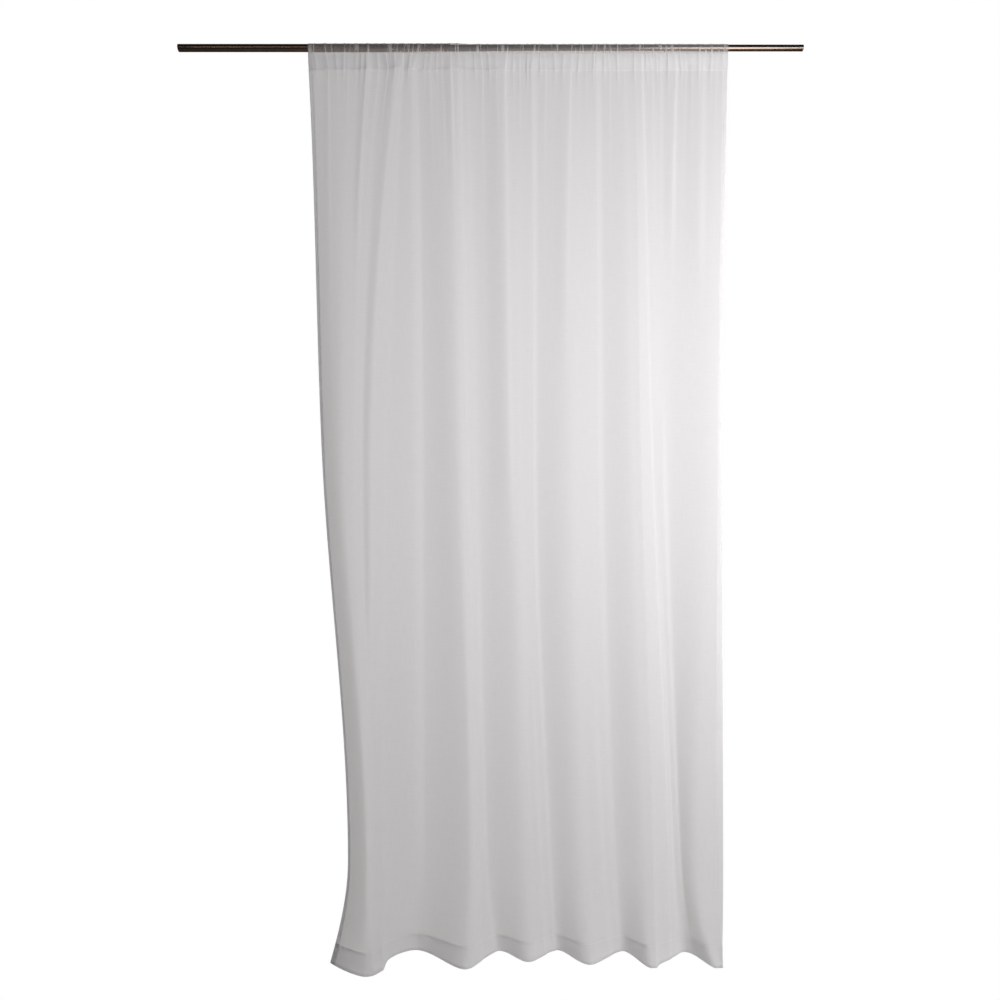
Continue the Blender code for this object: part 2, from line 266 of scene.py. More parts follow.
# Places are in mm to the right of the rod's middle, at the seam, two heights and the hem. Depth
# is how far the line stands towards the viewer at the hem, and early is how much deeper than the
# others it is above that.
Fold = namedtuple("Fold", "name seam mid low hem depth early")
FOLDS = (
    Fold("left edge", -488, -452, -381, -426, 20, 1.0),
    Fold("first lobe", -391, -385, -322, -323, 79, 1.9),
    Fold("left turn, front", -254, -314, -304, -280, 52, 1.7),
    Fold("left turn, back", -240, -280, -287, -275, 12, 1.2),
    Fold("first hollow", -203, -192, -191, -206, -36, 1.0),
    Fold("second lobe", -128, -92, -58, -69, 47, 1.0),
    Fold("sharp line", -85, -61, -31, -22, 6, 1.0),
    Fold("second hollow", -45, -29, -7, 22, -32, 1.0),
    Fold("third lobe", 38, 57, 87, 101, 17, 1.0),
    Fold("third hollow", 119, 119, 159, 178, -36, 0.8),
    Fold("fourth lobe", 218, 210, 242, 264, 29, 0.7),
    Fold("fourth hollow", 290, 296, 331, 356, -32, 0.7),
    Fold("fifth lobe", 368, 384, 416, 424, 43, 0.7),
    Fold("tuck front", 384, 400, 432, 437, 41, 0.7),
    Fold("tuck back", 390, 408, 441, 442, 31, 0.7),
    Fold("right line", 406, 433, 478, 483, 2, 0.8),
    Fold("fifth hollow", 486, 478, 503, 530, -29, 0.8),
    Fold("last lobe", 593, 583, 550, 593, 43, 0.7),
    Fold("right edge", 635, 617, 619, 611, 41, 0.9),
)

# How much of each fold's depth has opened at some heights
OPENING = (
    (SEAM_Z, 0.02),
    (-0.15, 0.08),
    (-0.40, 0.16),
    (MID_Z, 0.26),
    (LOW_Z, 0.43),
    (HEM_Z + 1.6 * HEM_HEIGHT, 0.62),
    (HEM_Z, 1.00),
)

# %% The gathers
# A gather is a small ridge that starts at the rod and fades downwards. Lean is how far it moves
# sideways from the seam up to the rod, rise how far it stands out, reach how far down it runs,
# and press how far its crest is pushed over to one side, so that it lies as a tiny pleat.
Gather = namedtuple("Gather", "place lean rise reach press")
GATHERS = (
    Gather(-434, -7, 2.5, 350, 3),
    Gather(-380, 4, 1.1, 150, 0),
    Gather(-324, 0, 2.5, 500, -4),
    Gather(-299, -4, 1.9, 200, 3),
    Gather(-275, -8, 2.5, 250, 4),
    Gather(-238, 5, 2.1, 900, 4),
    Gather(-198, 10, 1.9, 250, -3),
    Gather(-163, 8, 1.6, 200, 2),
    Gather(-129, 0, 1.2, 250, 0),
    Gather(-106, 0, 1.5, 450, 3),
    Gather(-85, -3, 1.5, 250, 5),
    Gather(-62, 0, 1.2, 250, -3),
    Gather(-23, -6, 1.7, 200, 4),
    Gather(17, 0, 1.0, 200, 0),
    Gather(38, 8, 1.5, 250, 4),
    Gather(79, 0, 1.2, 200, 1),
    Gather(116, 4, 1.5, 250, -4),
    Gather(148, -8, 1.5, 200, 3),
    Gather(215, 6, 1.2, 250, 4),
    Gather(258, 0, 0.7, 200, 0),
    Gather(290, 2, 1.0, 250, -4),
    Gather(319, -7, 1.2, 250, 4),
    Gather(360, 0, 0.7, 200, 0),
    Gather(404, -2, 1.0, 250, 5),
    Gather(433, -9, 1.0, 350, 3),
    Gather(460, 0, 1.2, 250, -4),
    Gather(497, -7, 1.4, 400, 5),
    Gather(524, -8, 1.0, 250, 3),
    Gather(543, -2, 0.8, 200, -2),
    Gather(572, 0, 0.7, 400, 0),
    Gather(606, 0, 0.6, 300, 0),
)

# A gather's two sides are these shares of its base wide. The base is 12 mm at the seam and grows to
# 40 mm further down. On the rod only a share of the height is left.
GATHER_BASE = 12 * MM
GATHER_BASE_GROWTH = 28 * MM
GATHER_LEFT, GATHER_RIGHT = 0.90, 0.55
GATHER_GROWTH_DROP = 0.800
GATHER_ON_ROD = 0.40
PRESS_REACH = 0.110

# A crease is a long ridge. From its top to its bottom it moves from its first place to its last. It
# comes forward over its left width and falls back over its shorter right width, and it is that
# steep side which catches the light, so places are given for the middle of it. The places are the
# CAD model's, and how far a crease stands out is set by how strongly its line shows in the photo.
Crease = namedtuple("Crease", "name first last top bottom rise left right")
CREASES = (
    Crease("left gather", -322, -326, -80, -600, 4.6, 30, 13),
    Crease("left turn", -240, -247, -80, -1700, 11.0, 40, 16),
    Crease("first hollow", -203, -203, -90, -2300, 10.0, 40, 15),
    Crease("short one", -106, -106, -80, -420, 2.2, 20, 13),
    Crease("sharp line", -85, -85, -70, -2410, 5.6, 50, 16),
    Crease("beside the sharp line", -58, -52, -1500, -2400, 2.3, 26, 13),
    Crease("third lobe", 38, 38, -80, -1350, 4.6, 52, 20),
    Crease("third hollow, left", 92, 90, -1900, -2400, 1.9, 24, 13),
    Crease("third hollow", 119, 119, -80, -2400, 3.3, 44, 17),
    Crease("fourth lobe", 214, 214, -80, -900, 2.2, 34, 18),
    Crease("fourth hollow, left", 266, 268, -1900, -2360, 1.9, 24, 13),
    Crease("fourth hollow", 290, 290, -80, -2400, 2.8, 44, 18),
    Crease("right line", 406, 406, -70, -2400, 2.3, 36, 12),
    Crease("across to the hollow", 470, 512, -1150, -2400, 2.8, 44, 28),
    Crease("right gather", 497, 497, -80, -620, 2.7, 30, 16),
    Crease("right band", 570, 572, -80, -700, 2.4, 40, 24),
)

# Over this height a crease rises from nothing and sinks again. One that comes this near to the hem
# doesn't sink but runs out through it.
CREASE_FADE = 0.260
CREASE_RUNS_OUT = 120 * MM

# Puckers are smaller still. The stitches draw them up, and they fade within a few centimetres.
Pucker = namedtuple("Pucker", "place rise")
PUCKERS = (
    Pucker(-467, 1.3),
    Pucker(-412, 1.8),
    Pucker(-394, 2.1),
    Pucker(-362, 1.6),
    Pucker(-347, 2.2),
    Pucker(-256, 1.8),
    Pucker(-220, 1.9),
    Pucker(-180, 1.4),
    Pucker(-146, 1.9),
    Pucker(-42, 1.8),
    Pucker(-4, 2.1),
    Pucker(59, 1.9),
    Pucker(97, 2.2),
    Pucker(133, 1.6),
    Pucker(172, 1.9),
    Pucker(193, 1.8),
    Pucker(234, 2.2),
    Pucker(275, 1.8),
    Pucker(304, 1.9),
    Pucker(340, 2.2),
    Pucker(384, 1.8),
    Pucker(418, 1.9),
    Pucker(446, 1.8),
    Pucker(475, 2.2),
    Pucker(511, 1.8),
    Pucker(557, 1.9),
    Pucker(589, 2.1),
    Pucker(620, 1.3),
)
PUCKER_BASE = 9 * MM
PUCKER_REACH = 28 * MM

# %% Smooth curves through the tables
LEFT = FOLDS[0].seam * MM
RIGHT = FOLDS[-1].seam * MM


def smooth_through(places, values, at, end_steepness=1.0):
    """Values at some places on a curve that turns only at its points, a monotone cubic."""
    places, values, at = (np.asarray(a, float) for a in (places, values, at))
    steps = np.diff(values) / np.diff(places)
    slopes = np.zeros(len(places))
    product = steps[:-1] * steps[1:]
    total = np.where(product > 0, steps[:-1] + steps[1:], 1.0)
    slopes[1:-1] = np.where(product > 0, 2 * product / total, 0.0)
    slopes[0], slopes[-1] = steps[0] * end_steepness, steps[-1] * end_steepness
    i = np.clip(np.searchsorted(places, at) - 1, 0, len(places) - 2)
    width = places[i + 1] - places[i]
    t = np.clip((at - places[i]) / width, 0, 1)
    return (
        values[i] * (1 + 2 * t) * (1 - t) ** 2
        + slopes[i] * width * t * (1 - t) ** 2
        + values[i + 1] * t * t * (3 - 2 * t)
        - slopes[i + 1] * width * t * t * (1 - t)
    )


def downwards(heights, values, z):
    """smooth_through for points that are listed from the seam down to the hem."""
    return smooth_through([-h for h in heights], values, -z, FREE_EDGE_STEEPNESS)


def bump(columns, place, base):
    """A ridge of height 1, with a rounded crest, at one place."""
    off = np.abs(columns - place) / (base / 2)
    return np.where(off < 1, (1 + np.cos(np.pi * np.minimum(off, 1))) / 2, 0.0)


# %% Ridges
def eased(t):
    """0 below 0, 1 above 1 and smooth between."""
    t = np.clip(t, 0, 1)
    return t * t * (3 - 2 * t)


def ridge(columns, place, left, right):
    """A ridge of height 1, with the middle of its right side at one place."""
    off = columns - place + right / 2
    return np.where(off < 0, eased(1 + off / left), eased(1 - off / right))


def creased(columns, z):
    """How far the long creases stand out at one height."""
    out = np.zeros(len(columns))
    for c in CREASES:
        top, bottom = c.top * MM, c.bottom * MM
        share = np.clip((top - z) / (top - bottom), 0, 1)
        place = (c.first + (c.last - c.first) * share) * MM
        shown = eased((top + CREASE_FADE - z) / CREASE_FADE)
        if bottom >= HEM_Z + CREASE_RUNS_OUT:
            shown *= eased((z - bottom) / CREASE_FADE)
        out += c.rise * MM * float(shown) * ridge(columns, place, c.left * MM, c.right * MM)
    return out


# %% Points of the hanging cloth
def gathered(columns, below):
    """How far the gathers stand out, and how far they are pushed sideways, below the seam."""
    base = GATHER_BASE + GATHER_BASE_GROWTH * min(1.0, below / GATHER_GROWTH_DROP)
    out, sideways = np.zeros(len(columns)), np.zeros(len(columns))
    for g in GATHERS:
        fold = ridge(columns, g.place * MM, GATHER_LEFT * base, GATHER_RIGHT * base)
        out += g.rise * MM * math.exp(-below / (g.reach * MM)) * fold
        sideways += g.press * MM * math.exp(-below / PRESS_REACH) * fold
    for p in PUCKERS:
        out += p.rise * MM * math.exp(-below / PUCKER_REACH) * bump(columns, p.place * MM, PUCKER_BASE)
    return out, sideways


def hanging(columns, z):
    """Points of the cloth at one height, at or below the seam."""
    seams = [f.seam * MM for f in FOLDS]
    heights = (SEAM_Z, MID_Z, LOW_Z, HEM_Z)
    places = []
    for f in FOLDS:
        stations = (f.seam * MM, f.mid * MM, f.low * MM, f.hem * MM)
        places.append(float(downwards(heights, stations, np.array([z]))[0]))
    x = smooth_through(seams, places, columns) if z < SEAM_Z else columns.copy()
    opening = downwards([h for h, _ in OPENING], [v for _, v in OPENING], np.array([z]))[0]
    flare = eased((LOW_Z - z) / (LOW_Z - HEM_Z))
    depths = [f.depth * MM * (f.early + (1 - f.early) * flare) for f in FOLDS]
    depth = opening * smooth_through(seams, depths, columns, FREE_EDGE_STEEPNESS)
    out, sideways = gathered(columns, max(0.0, SEAM_Z - z))
    out = out + creased(columns, z)
    return np.stack([x + sideways, -depth - out, np.full(len(columns), z)], axis=1)


def towards_viewer(columns, z):
    """Directions square to the cloth, towards the viewer."""
    side, drop = 0.6 * MM, 4 * MM
    right = hanging(columns + side, z) - hanging(columns - side, z)
    up = hanging(columns, min(SEAM_Z, z + drop)) - hanging(columns, max(HEM_Z, z - drop))
    square = np.cross(right, up)
    return square / np.linalg.norm(square, axis=1)[:, None]


# %% [markdown]
# Hems and pocket
#
# A hem is the same cloth turned back on itself, with its raw edge turned under once more, so it
# is two and three layers thick. On sheer cloth those layers show as denser bands. The cloth
# is therefore one grid whose outer rows and columns are folded back behind the front, a fraction
# of a millimetre apart. The last rows go up over the rod and down behind it to the seam.

# %% Where the columns of the grid lie
LAYER = 0.35 * MM

# Each column has a place across the panel and a layer: 0 is the front, 1 and 2 lie behind it
Column = namedtuple("Column", "place layer")

# Spacings of the columns, which count only in proportion to each other
INNER_COLUMNS = 600
PLAIN_SPACING, GATHER_SPACING, CREASE_SPACING = 4.2, 1.2, 2.4
CREASE_BASE = 24 * MM


def columns_across():
    """Columns from the raw left edge to the raw right edge, closer together at each gather."""
    fine = np.linspace(LEFT + SIDE_HEM_WIDTH, RIGHT - SIDE_HEM_WIDTH, 4000)
    crowd = np.full(len(fine), 1 / PLAIN_SPACING)
    for g in GATHERS:
        crowd += bump(fine, g.place * MM, 2.0 * GATHER_BASE) / GATHER_SPACING
    for p in PUCKERS:
        crowd += bump(fine, p.place * MM, 1.4 * PUCKER_BASE) / CREASE_SPACING
    for c in CREASES:
        crowd += bump(fine, c.first * MM, CREASE_BASE) / CREASE_SPACING
    run = np.concatenate([[0], np.cumsum((crowd[1:] + crowd[:-1]) / 2)])
    inner = np.interp(np.linspace(0, run[-1], INNER_COLUMNS), run, fine)
    hem = np.linspace(0, SIDE_HEM_WIDTH, 6)
    under = np.linspace(SIDE_HEM_WIDTH - SIDE_TURNED_UNDER, SIDE_HEM_WIDTH, 4)
    left = [Column(LEFT + h, 1) for h in under] + [Column(LEFT + h, 2) for h in hem[::-1]]
    right = [Column(RIGHT - h, 2) for h in hem] + [Column(RIGHT - h, 1) for h in under[::-1]]
    front = [LEFT + h for h in hem[:-1]] + list(inner) + [RIGHT - h for h in hem[:-1][::-1]]
    return left + [Column(place, 0) for place in front] + right


COLUMNS = columns_across()
print(len(COLUMNS), "columns")

# %% Where the rows of the grid lie
# A row's part is the stretch of cloth that it belongs to, at is its height, its share of the way
# or its angle, and layer is as for the columns.
Row = namedtuple("Row", "part at layer")
ROWS_DOWN = 60

# The panel's rows lie closer together at the seam and the hem. This share of their spacing is even,
# and the first one lies this far above the hem's rows.
EVEN_SHARE = 0.12
ABOVE_HEM = 4 * MM


def rows_upwards():
    """Rows from the raw bottom edge up the panel, over the rod and down to the raw top edge."""
    share = np.linspace(1, 0, ROWS_DOWN + 1)
    drop = EVEN_SHARE * share + (1 - EVEN_SHARE) * (1 - np.cos(np.pi * share)) / 2
    panel = [SEAM_Z - (SEAM_Z - HEM_Z) * float(d) for d in drop]
    hem = np.linspace(0, HEM_HEIGHT, 7)
    under = np.linspace(HEM_HEIGHT - TURNED_UNDER, HEM_HEIGHT, 3)
    rows = [Row("panel", HEM_Z + h, 1) for h in under]
    rows += [Row("panel", HEM_Z + h, 2) for h in hem[::-1]]
    rows += [Row("panel", HEM_Z + h, 0) for h in hem]
    rows += [Row("panel", z, 0) for z in panel if HEM_Z + HEM_HEIGHT + ABOVE_HEM < z < SEAM_Z]
    rows += [Row("front", t, 0) for t in np.linspace(0, 1, 10)[:-1]]
    rows += [Row("ring", t, 0) for t in np.linspace(0, 1, 17)]
    rows += [Row("back", t, 0) for t in np.linspace(0, 1, 10)[1:]]
    rows += [Row("under", t, 0) for t in np.linspace(0, 1, 5)]
    return rows


ROWS = rows_upwards()
print(len(ROWS), "rows")

# %% Points of the pocket
ROD_CLEARANCE = 0.45 * MM
TANGENT = math.asin(OUTER_RADIUS / -SEAM_Z)
RING_START = math.pi + TANGENT
RING_END = -TANGENT

# How much of a gather's push to the side is left on the rod, how much of its height at the back of
# the seam, and how much it bulges between the seam and the rod
PRESS_ON_ROD = 0.7
GATHER_AT_BACK = 0.5
FRONT_BULGE, BACK_BULGE = 0.35, 0.25


def lean_at_rod(columns):
    """How far each thread moves sideways from the seam up to the rod."""
    places = [LEFT] + [g.place * MM for g in GATHERS] + [RIGHT]
    leans = [0.0] + [g.lean * MM for g in GATHERS] + [0.0]
    return smooth_through(places, leans, columns)


def rod_radius(x):
    """The radius under the cloth, eased where it passes the cut end of the wider tube."""
    places = (-35 * MM, 0.0, 12 * MM, 52 * MM)
    radii = (OUTER_RADIUS, OUTER_RADIUS + 0.4 * MM, OUTER_RADIUS + 0.4 * MM, INNER_RADIUS)
    return smooth_through(places, radii, x - STEP_X) + ROD_CLEARANCE


def pocket(columns, layers, row):
    """Points of the pocket's front, its turn over the rod, its back and its turned raw edge."""
    rise, sideways = gathered(columns, 0.0)
    seam = hanging(columns, SEAM_Z)
    seam[:, 0] = columns
    at_rod = columns + lean_at_rod(columns)
    within = (2 - layers) * LAYER
    radius = rod_radius(at_rod) + within + rise * GATHER_ON_ROD

    def ring(angle):
        y, z = np.cos(angle) * radius, np.sin(angle) * radius
        return np.stack([at_rod + sideways * PRESS_ON_ROD, y, z], axis=1)

    if row.part == "ring":
        return ring(RING_START + (RING_END - RING_START) * row.at)
    behind = np.array([[0.0, 1.0, 0.0]]) * (layers * LAYER)[:, None]
    seam_front = seam + behind
    seam_front[:, 0] += sideways
    seam_back = seam + np.array([[0.0, 4 * LAYER, 0.0]]) - behind
    seam_back[:, 0] += sideways
    seam_back[:, 1] += rise * GATHER_AT_BACK
    if row.part == "front":
        t = row.at
        points = seam_front * (1 - t) + ring(RING_START) * t
        points[:, 1] -= rise * FRONT_BULGE * math.sin(math.pi * t)
        return points
    if row.part == "back":
        t = 1 - row.at
        points = seam_back * (1 - t) + ring(RING_END) * t
        points[:, 1] += rise * BACK_BULGE * math.sin(math.pi * t)
        return points
    t = POCKET_TURNED_UNDER * row.at / -SEAM_Z
    points = seam_back * (1 - t) + ring(RING_END) * t
    points[:, 1] -= 1.2 * LAYER * (0.3 + 0.7 * min(1.0, 4 * row.at))
    return points


# %% The whole grid
# Near the side hems the bottom hem's layers stand further apart, because they lie round the side
# hem's three.
CORNER_REACH = 15 * MM


def drape(columns, rows):
    """Where each point of the grid hangs, row by row."""
    places = np.array([c.place for c in columns])
    layers = np.array([c.layer for c in columns], float)
    past_hem = np.minimum(places - LEFT, RIGHT - places) - SIDE_HEM_WIDTH
    corner = 1 - eased(past_hem / CORNER_REACH)
    hung = []
    for row in rows:
        if row.part != "panel":
            hung.append(pocket(places, layers, row))
            continue
        middle = LAYER * (1 + 2 * corner)
        far = LAYER * (2 + 6 * corner)
        behind = {0: layers * LAYER, 1: middle + layers * LAYER, 2: far - layers * LAYER}[row.layer]
        square = towards_viewer(places, row.at)
        hung.append(hanging(places, row.at) - square * behind[:, None])
    return np.array(hung)


HUNG = drape(COLUMNS, ROWS)
print("cloth spans", np.round(HUNG.min(axis=(0, 1)), 3), "to", np.round(HUNG.max(axis=(0, 1)), 3))

# %% The same grid on the cut cloth
CUT_WIDTH = 1.40
CUT_LENGTH = 2.66


def flat_places(points, size):
    """Places along the cut cloth, from the mean distance between neighbours on the hung one."""
    steps = np.linalg.norm(np.diff(points, axis=0), axis=2).mean(axis=1)
    run = np.concatenate([[0], np.cumsum(steps)])
    return run / run[-1] * size


ACROSS = flat_places(HUNG.transpose(1, 0, 2), CUT_WIDTH)
UPWARDS = flat_places(HUNG, CUT_LENGTH)
ROD_TOP_V = float(np.mean([v for v, row in zip(UPWARDS, ROWS) if row.part == "ring"]))
print("the cloth's middle on the rod is", round(ROD_TOP_V, 3), "m up the cut cloth")

# %% [markdown]
# Voile
#
# Voile is a plain weave of fine, tightly twisted threads with gaps between them. The eye looks
# through the gaps, while the threads scatter light to both sides. So the material is a mix: part
# of it is clear, and the rest is a matt white that glows when it is lit from behind. The
# colour sits on the two scattering shaders, and the share of gaps is the factor of the mix. That
# share is larger where the rod stretches the weave. An image of the weave would do the same, but
# it would need one texel for each thread over 2.6 m of cloth.

# %% The voile's material
# Plain voile has about 28 threads in each cm. At 0.36 mm they are too fine to show here, so they
# are drawn coarser, as soft streaks 2.4 mm wide that run along the threads.
SLUB_WIDTH = 2.4 * MM
SLUB_LENGTH = 45 * MM
SLUB_UNEVENNESS = 0.02
OPEN_SHARE = 0.30

# Over the rod the cloth is pulled tight, which opens its weave. There the eye looks straight
# through the gaps at dark metal, so the rod shows as a strip. Where two small gathers are pressed
# together the cloth is closed again, which draws short light lines across the strip.
TIGHT_OPEN_SHARE = 0.78
PRESSED_OPEN_SHARE = 0.42
TIGHT_INSIDE, TIGHT_OUTSIDE = 30 * MM, 38 * MM
PRESSED_WIDTH, PRESSED_LENGTH = 9 * MM, 90 * MM
PRESSED_FROM, PRESSED_TO = 0.56, 0.66


def voile(name, hex_colour):
    """Sheer plain weave: see-through gaps between matt threads that pass light on."""
    material, tree, output = new_material(name)
    cut = add_node(tree, "ShaderNodeUVMap", {"uv_map": "cut_cloth"}).outputs["UV"]
    streaks = []
    upright, level = (1 / SLUB_WIDTH, 1 / SLUB_LENGTH, 1.0), (1 / SLUB_LENGTH, 1 / SLUB_WIDTH, 1.0)
    for scale in (upright, level):
        thread = add_node(tree, "ShaderNodeMapping", {}, {"Vector": cut, "Scale": scale})
        noise = add_node(
            tree,
            "ShaderNodeTexNoise",
            {},
            {"Vector": thread.outputs["Vector"], "Scale": 1.0, "Detail": 2.0, "Roughness": 0.5},
        )
        streaks.append(noise.outputs["Fac"])
    weave = add_node(tree, "ShaderNodeMath", {"operation": "ADD"}, {0: streaks[0], 1: streaks[1]})
    along = add_node(tree, "ShaderNodeSeparateXYZ", {}, {"Vector": cut}).outputs["Y"]
    past = add_node(tree, "ShaderNodeMath", {"operation": "SUBTRACT"}, {0: along, 1: ROD_TOP_V})
    apart = add_node(tree, "ShaderNodeMath", {"operation": "ABSOLUTE"}, {0: past.outputs["Value"]})
    across = add_node(
        tree,
        "ShaderNodeMapping",
        {},
        {"Vector": cut, "Scale": (1 / PRESSED_WIDTH, 1 / PRESSED_LENGTH, 1.0)},
    )
    gathers = add_node(
        tree, "ShaderNodeTexNoise", {}, {"Vector": across.outputs["Vector"], "Scale": 1.0, "Detail": 1.0}
    )
    tight = add_node(
        tree,
        "ShaderNodeMapRange",
        {"interpolation_type": "SMOOTHSTEP"},
        {
            "Value": gathers.outputs["Fac"],
            "From Min": PRESSED_FROM,
            "From Max": PRESSED_TO,
            "To Min": 1 - TIGHT_OPEN_SHARE,
            "To Max": 1 - PRESSED_OPEN_SHARE,
        },
    )
    closed = add_node(
        tree,
        "ShaderNodeMapRange",
        {"interpolation_type": "SMOOTHSTEP"},
        {
            "Value": apart.outputs["Value"],
            "From Min": TIGHT_INSIDE,
            "From Max": TIGHT_OUTSIDE,
            "To Min": tight.outputs["Result"],
            "To Max": 1 - OPEN_SHARE,
        },
    )
    uneven = add_node(
        tree,
        "ShaderNodeMapRange",
        {},
        {
            "Value": weave.outputs["Value"],
            "From Min": 0.6,
            "From Max": 1.4,
            "To Min": -SLUB_UNEVENNESS,
            "To Max": SLUB_UNEVENNESS,
        },
    )
    density = add_node(
        tree,
        "ShaderNodeMath",
        {"operation": "ADD"},
        {0: closed.outputs["Result"], 1: uneven.outputs["Result"]},
    )
    colour = linear(hex_colour)
    matt = add_node(tree, "ShaderNodeBsdfDiffuse", {}, {"Color": colour, "Roughness": 0.6})
    glow = add_node(tree, "ShaderNodeBsdfTranslucent", {}, {"Color": colour})
    threads = add_node(
        tree,
        "ShaderNodeMixShader",
        {},
        {0: 0.5, 1: matt.outputs["BSDF"], 2: glow.outputs["BSDF"]},
    )
    gaps = add_node(tree, "ShaderNodeBsdfTransparent")
    cloth = add_node(
        tree,
        "ShaderNodeMixShader",
        {},
        {0: density.outputs["Value"], 1: gaps.outputs["BSDF"], 2: threads.outputs["Shader"]},
    )
    tree.links.new(cloth.outputs["Shader"], output.inputs["Surface"])
    return material


white_voile = voile("white voile, plain weave", "#f6f5f6")

# %% The cloth
# The grid starts flat, as the cut cloth does, and then each point is moved to where it hangs. Its
# UV map keeps the flat cloth's sizes in metres, so the weave follows every fold.
def make_cloth():
    """One grid, laid flat and then hung."""
    bm = bmesh.new()
    bmesh.ops.create_grid(
        bm, x_segments=len(COLUMNS) - 1, y_segments=len(ROWS) - 1, size=0.5
    )
    uv = bm.loops.layers.uv.new("cut_cloth")
    spots = {}
    for vert in bm.verts:
        i = round((vert.co.x + 0.5) * (len(COLUMNS) - 1))
        j = round((vert.co.y + 0.5) * (len(ROWS) - 1))
        spots[vert] = (ACROSS[i], UPWARDS[j])
        vert.co = HUNG[j, i]
    for face in bm.faces:
        face.smooth = True
        for loop in face.loops:
            loop[uv].uv = spots[loop.vert]
    return bm


cloth = new_piece("voile_cloth", make_cloth(), white_voile)
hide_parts("voile_panel")

# %% [markdown]
# The stitches
#
# One sewing thread runs along the pocket's seam, one along the top of the bottom hem and one down
# each side hem. Every few millimetres it dips through a needle hole, so it shows as a row of short
# dashes, fine next to the folds but crisp up close. A curve with a round bevel makes each row. Its
# points are measured out along the hung cloth, so the stitches are all as long as real ones.

# %% Where a thread lies
STITCH = 3.2 * MM
THREAD_RADIUS = 0.14 * MM
HOLE_DEPTH = 0.25 * MM
FROM_EDGE = 1.5 * MM
SEAM_ROW = next(j for j, row in enumerate(ROWS) if row.part == "front")

# The shares of a stitch at which the thread is up on the cloth and at which it goes down again
COMES_UP, GOES_DOWN = 0.17, 0.83


def on_cloth(rows, columns):
    """Points of the grid between its rows and columns, and directions square to it."""
    j = np.clip(rows.astype(int), 0, len(ROWS) - 2)
    i = np.clip(columns.astype(int), 0, len(COLUMNS) - 2)
    v, u = (rows - j)[:, None], (columns - i)[:, None]
    left = HUNG[j, i] * (1 - v) + HUNG[j + 1, i] * v
    right = HUNG[j, i + 1] * (1 - v) + HUNG[j + 1, i + 1] * v
    low = HUNG[j, i] * (1 - u) + HUNG[j, i + 1] * u
    high = HUNG[j + 1, i] * (1 - u) + HUNG[j + 1, i + 1] * u
    square = np.cross(right - left, high - low)
    return left * (1 - u) + right * u, square / np.linalg.norm(square, axis=1)[:, None]


def thread_points(rows, columns):
    """A thread along a path on the grid: down a hole, then up and over to the next one."""
    path, _ = on_cloth(rows, columns)
    run = np.concatenate([[0], np.cumsum(np.linalg.norm(np.diff(path, axis=0), axis=1))])
    holes = np.arange(0, run[-1] - STITCH, STITCH)
    at = (holes[:, None] + STITCH * np.array([0, COMES_UP, GOES_DOWN])).ravel()
    points, square = on_cloth(np.interp(at, run, rows), np.interp(at, run, columns))
    height = np.tile([-HOLE_DEPTH, THREAD_RADIUS, THREAD_RADIUS], len(holes))
    return points + square * height[:, None]


# %% The four rows of stitches
def column_at(place):
    """Where the front layer of the cloth has a place, in columns of the grid."""
    front = [(c.place, i) for i, c in enumerate(COLUMNS) if c.layer == 0]
    return float(np.interp(place, [p for p, _ in front], [i for _, i in front]))


def row_at(z):
    """Where the front layer of the cloth has a height below the seam, in rows of the grid."""
    front = [(row.at, j) for j, row in enumerate(ROWS) if row.part == "panel" and row.layer == 0]
    return float(np.interp(z, [at for at, _ in front], [j for _, j in front]))


PATH_POINTS = 3000
steps = np.linspace(0, 1, PATH_POINTS)
edges = [column_at(LEFT + FROM_EDGE), column_at(RIGHT - FROM_EDGE)]
level = edges[0] + (edges[1] - edges[0]) * steps
upright = row_at(HEM_Z + FROM_EDGE) + (SEAM_ROW - row_at(HEM_Z + FROM_EDGE)) * steps
hem_row = row_at(HEM_Z + HEM_HEIGHT - FROM_EDGE)
side_columns = [
    column_at(LEFT + SIDE_HEM_WIDTH - FROM_EDGE),
    column_at(RIGHT - SIDE_HEM_WIDTH + FROM_EDGE),
]
threads = [thread_points(np.full(PATH_POINTS, float(row)), level) for row in (SEAM_ROW, hem_row)]
threads += [thread_points(upright, np.full(PATH_POINTS, column)) for column in side_columns]
print(len(threads), "threads,", sum(len(t) for t in threads) // 3, "stitches")

# %% The thread
# Polyester sewing thread is a tight twist of bright filaments. To the eye it is a solid white line
# with a soft lustre, where the voile round it is half see-through. Its twist is 0.3 mm long, too
# fine to show.
white_thread, tree, output = new_material("white sewing thread, twisted")
lustre = add_node(
    tree,
    "ShaderNodeBsdfPrincipled",
    {},
    {"Base Color": linear("#f1f1f1"), "Roughness": 0.45, "Sheen Weight": 0.3},
)
tree.links.new(lustre.outputs["BSDF"], output.inputs["Surface"])


def sewn(threads):
    """All threads as one mesh, each a round bevel along its points."""
    curve = bpy.data.curves.new("threads", "CURVE")
    curve.dimensions = "3D"
    curve.bevel_depth = THREAD_RADIUS
    curve.bevel_resolution = 0
    curve.use_fill_caps = True
    for points in threads:
        spline = curve.splines.new("POLY")
        spline.points.add(len(points) - 1)
        for point, place in zip(spline.points, points):
            point.co = (*place, 1)
    rows = bpy.data.objects.new("threads", curve)
    mesh = bpy.data.meshes.new_from_object(rows)
    bm = bmesh.new()
    bm.from_mesh(mesh)
    bpy.data.objects.remove(rows)
    bpy.data.curves.remove(curve)
    bpy.data.meshes.remove(mesh)
    return bm


stitches = new_piece("stitches", sewn(threads), white_thread)
stitches.data.shade_smooth()

# %% [markdown]
# The light and the room
#
# The photo's curtain hung before something grey and was cut out onto white. It is lighter on the
# right, and its folds are drawn by light from the front right, while some comes through it from
# behind. So the room here is white where the camera sees it directly and grey where it sees it
# through the voile. A narrow light before the left end draws the line along the darker tube.

